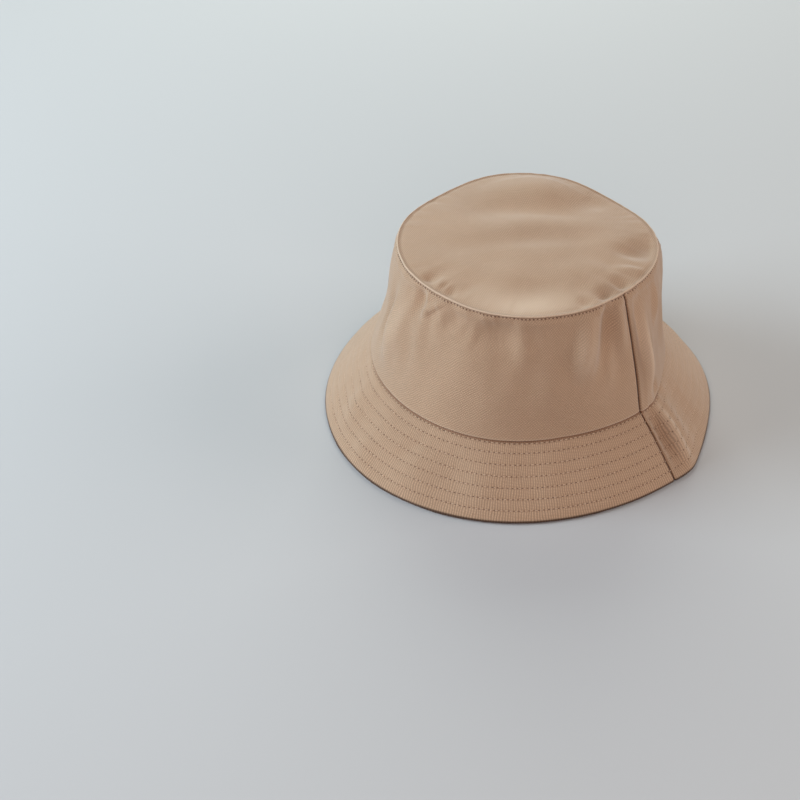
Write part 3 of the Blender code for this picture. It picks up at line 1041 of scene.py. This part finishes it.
# %% The stitching tree
def stitch_tree(name, material):
    """Repeats a small rounded shape along curves, lying on the cloth that the curves follow."""
    tree = bpy.data.node_groups.new(name, "GeometryNodeTree")
    face = tree.interface
    face.new_socket("Rows", in_out="INPUT", socket_type="NodeSocketGeometry")
    for label in ("Pitch", "Length", "Width", "Height", "Shift", "Slant"):
        face.new_socket(label, in_out="INPUT", socket_type="NodeSocketFloat")
    face.new_socket("Seed", in_out="INPUT", socket_type="NodeSocketInt")
    face.new_socket("Stitches", in_out="OUTPUT", socket_type="NodeSocketGeometry")
    asked = tree.nodes.new("NodeGroupInput").outputs

    def step(kind, inputs, **settings):
        return placed(tree, kind, inputs, **settings).outputs

    curve = step("GeometryNodeMeshToCurve", {0: asked["Rows"]})
    spaced = step("GeometryNodeResampleCurve", {"Curve": curve[0], "Length": asked["Pitch"]}, mode="LENGTH")
    tangent = step("GeometryNodeInputTangent", {})
    normal = step("GeometryNodeInputNamedAttribute", {"Name": "cloth_normal"}, data_type="FLOAT_VECTOR")
    shift = step("ShaderNodeVectorMath", {0: tangent[0], "Scale": asked["Shift"]}, operation="SCALE")
    moved = step("GeometryNodeSetPosition", {"Geometry": spaced[0], "Offset": shift[0]})
    along = step("FunctionNodeAlignRotationToVector", {"Vector": tangent[0]}, axis="X")
    flat = step("FunctionNodeAlignRotationToVector", {"Rotation": along[0], "Vector": normal[0]},
                axis="Z", pivot_axis="X")
    slant = step("FunctionNodeEulerToRotation", {0: step("ShaderNodeCombineXYZ", {2: asked["Slant"]})[0]})
    slanted = step("FunctionNodeRotateRotation", {"Rotation": flat[0], "Rotate By": slant[0]},
                   rotation_space="LOCAL")
    size = step("ShaderNodeCombineXYZ", {0: asked["Length"], 1: asked["Width"], 2: asked["Height"]})
    vary = step("FunctionNodeRandomValue", {2: 0.85, 3: 1.12, "Seed": asked["Seed"]}, data_type="FLOAT")
    scale = step("ShaderNodeVectorMath", {0: size[0], "Scale": vary[1]}, operation="SCALE")
    shape = step("GeometryNodeMeshUVSphere", {"Segments": 6, "Rings": 4, "Radius": 0.5})
    copies = step("GeometryNodeInstanceOnPoints", {
        "Points": moved[0], "Instance": shape["Mesh"], "Rotation": slanted[0], "Scale": scale[0]})
    real = step("GeometryNodeRealizeInstances", {0: copies[0]})
    smooth = step("GeometryNodeSetShadeSmooth", {0: real[0]})
    painted = step("GeometryNodeSetMaterial", {"Geometry": smooth[0], "Material": material})
    placed(tree, "NodeGroupOutput", {0: painted[0]})
    return tree


def sewn(name, rows, tree, sizes):
    """Runs the tree over rows of (points, normals) and keeps the result as a plain mesh."""
    mesh = bpy.data.meshes.new(name + "_rows")
    points = np.concatenate([row[0] for row in rows])
    normals = np.concatenate([row[1] for row in rows])
    edges = []
    first = 0
    for row_points, _ in rows:
        count = len(row_points)
        edges += [(first + k, first + (k + 1) % count) for k in range(count)]
        first += count
    mesh.from_pydata(points.tolist(), edges, [])
    field = mesh.attributes.new("cloth_normal", "FLOAT_VECTOR", "POINT")
    field.data.foreach_set("vector", normals.astype(np.float32).ravel())
    host = put(name + "_rows", mesh)
    modifier = host.modifiers.new("Stitching", "NODES")
    modifier.node_group = tree
    sockets = {s.name: s.identifier for s in tree.interface.items_tree if s.in_out == "INPUT"}
    for label, value in sizes.items():
        modifier[sockets[label]] = value
    graph = bpy.context.evaluated_depsgraph_get()
    result = bpy.data.meshes.new_from_object(host.evaluated_get(graph))
    bpy.data.objects.remove(host)
    result.name = name
    piece = put(name, result)
    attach(piece, "root")
    print(name, len(result.polygons), "faces")
    return piece


# %% Rows on the cloth
ROW_POINT_STEP = 0.5
NORMAL_STEP = 0.004


def row_on(surface, share, lift, side, nap, smooth):
    """A closed row of points round the hat at one share of a panel, with the cloth's normals.

    The row lies deeper by nap metres where the nap closes over it, and by smooth metres where the cloth is
    stretched smooth.
    """
    angle = np.arange(0.0, 360.0, ROW_POINT_STEP)[:, None]
    shares = np.array([[share - NORMAL_STEP, share, share + NORMAL_STEP]])
    points = surface(angle, shares)
    along = np.roll(points[:, 1], -1, axis=0) - np.roll(points[:, 1], 1, axis=0)
    across = points[:, 2] - points[:, 0]
    normal = np.cross(along, across) * side
    normal = normal / np.linalg.norm(normal, axis=-1, keepdims=True)
    sunk = nap * hump(turned(angle, 205.0), 75.0) + smooth * slack(angle)
    return points[:, 1] + normal * (lift - sunk), normal


topstitch_share = 1.0 - TOPSTITCH_DROP / BAND_LENGTH
topstitch_rows = [row_on(band_surface, topstitch_share, 0.00012, 1.0, 0.0, 0.0)]
quilt_rows = [row_on(brim_surface, share, 0.00014, -1.0, 0.0, 0.00029) for share in QUILT_SHARES]
# Rows of the painted shade at the needle holes.
hole_shade_rows = [row_on(brim_surface, share, 0.00008, -1.0, 0.00026, 0.00030) for share in QUILT_SHARES]
print("rows of stitching:", len(topstitch_rows) + len(quilt_rows))

# %% Sew
threads = stitch_tree("stitching", stitch_thread)
hole_shades = stitch_tree("needle_hole_shades", needle_hole_shade)
QUILT_PITCH = 0.0029
TOPSTITCH_PITCH = 0.0022

quilt = {"Pitch": QUILT_PITCH, "Length": 0.0018, "Width": 0.0005, "Height": 0.00045, "Slant": 0.10, "Seed": 3}
quilt_hole_shades = {"Pitch": QUILT_PITCH, "Length": 0.0010, "Width": 0.0006, "Height": 0.00034,
               "Shift": QUILT_PITCH / 2, "Seed": 5}
top = {"Pitch": TOPSTITCH_PITCH, "Length": 0.0013, "Width": 0.0005, "Height": 0.00045, "Slant": 0.45, "Seed": 7}
top_hole_shades = {"Pitch": TOPSTITCH_PITCH, "Length": 0.0013, "Width": 0.0008, "Height": 0.00036,
             "Shift": TOPSTITCH_PITCH / 2, "Slant": -0.9, "Seed": 9}
sewn("brim_stitches", quilt_rows, threads, quilt)
# Dark shapes at the needle holes: painted shade.
sewn("brim_needle_hole_shades", hole_shade_rows, hole_shades, quilt_hole_shades)
sewn("tip_topstitches", topstitch_rows, threads, top)
sewn("tip_needle_hole_shades", topstitch_rows, hole_shades, top_hole_shades)

# %% [markdown]
# ## Floor, light and camera
#
# The hat is lit like a shop photograph, by four softboxes of a metre each on four sides of it, none of them
# right above. The cool one on the left is the strongest, and the warm ones on the right and in front are less
# than half as strong. The left of the crown is therefore the brightest, the front is in soft shade, and the
# folds that run up the band show. One large light overhead would be simpler, but it flattens those folds and
# leaves the band darker than the tip. The camera looks down from about 38 degrees with a long lens. Its
# directions are written out, because the view is turned a degree or two about its own axis.

# %% Floor
FLOOR_GREY = (0.55, 0.565, 0.58, 1.0)

floor_mesh = bpy.data.meshes.new("floor")
floor_mesh.from_pydata([(-4, -4, 0), (4, -4, 0), (4, 4, 0), (-4, 4, 0)], [], [(0, 1, 2, 3)])
floor = put("floor", floor_mesh)
pale_floor, floor_tree = blank_material("pale_floor")
fill(floor_tree, floor_tree.nodes["Principled BSDF"],
     {"Base Color": FLOOR_GREY, "Roughness": 0.9, "Specular IOR Level": 0.2})
floor_mesh.materials.append(pale_floor)
print("floor", round(floor.dimensions.x, 1), "m across")

# %% Light
CAMERA_TURN = math.radians(VIEW_TURN)
BOX_SIDE = 1.0

SOFTBOXES = {
    # right, away, up, power, colour
    "left_softbox": (-1.3, 0.0, 0.7, 21.5, (0.82, 0.93, 1.0)),
    "back_softbox": (0.0, 1.2, 0.8, 13.0, (0.96, 1.0, 0.94)),
    "right_softbox": (1.3, 0.0, 0.7, 10.0, (1.0, 0.91, 0.85)),
    "front_softbox": (0.0, -1.3, 0.7, 8.5, (1.0, 0.82, 0.765)),
}


def from_camera(right, away, up):
    """A point given to the right of, away from and above the crown's middle, as the camera sees it."""
    x = right * math.cos(CAMERA_TURN) - away * math.sin(CAMERA_TURN)
    y = right * math.sin(CAMERA_TURN) + away * math.cos(CAMERA_TURN)
    return Vector((CROWN_X + x, CROWN_Y + y, up))


for name, (right, away, up, power, colour) in SOFTBOXES.items():
    softbox = bpy.data.lights.new(name, "AREA")
    softbox.shape = "RECTANGLE"
    softbox.size = BOX_SIDE
    softbox.size_y = BOX_SIDE
    softbox.energy = power
    softbox.color = colour
    lamp = put(name, softbox)
    lamp.location = from_camera(right, away, up)
    aim = from_camera(0.0, 0.0, 0.05) - lamp.location
    lamp.rotation_euler = aim.to_track_quat("-Z", "Y").to_euler()
world = bpy.data.worlds.new("studio")
bpy.context.scene.world = world
world.use_nodes = True
fill(world.node_tree, world.node_tree.nodes["Background"], {"Color": (0.80, 0.86, 0.92, 1.0), "Strength": 0.02})
bpy.context.scene.view_settings.view_transform = "Standard"
print("softboxes:", len(SOFTBOXES), "with", sum(box[3] for box in SOFTBOXES.values()), "W in all")

# %% Camera
forward = Vector((-0.594734, 0.516994, -0.61564)).normalized()
camera_up = Vector((-0.447013, 0.423827, 0.78775))
camera_right = forward.cross(camera_up).normalized()
camera_up = camera_right.cross(forward)
camera_data = bpy.data.cameras.new("camera")
camera_data.lens = 70.04
camera_data.sensor_width = 36.0
camera_data.clip_start = 0.01
camera = put("camera", camera_data)
place = Vector((CROWN_X + 0.542145, CROWN_Y - 0.578208, 0.6108))
rows = [(camera_right[k], camera_up[k], -forward[k], place[k]) for k in range(3)]
camera.matrix_world = Matrix(rows + [(0.0, 0.0, 0.0, 1.0)])
bpy.context.scene.camera = camera
print("camera", round(place.z, 2), "m above the floor")
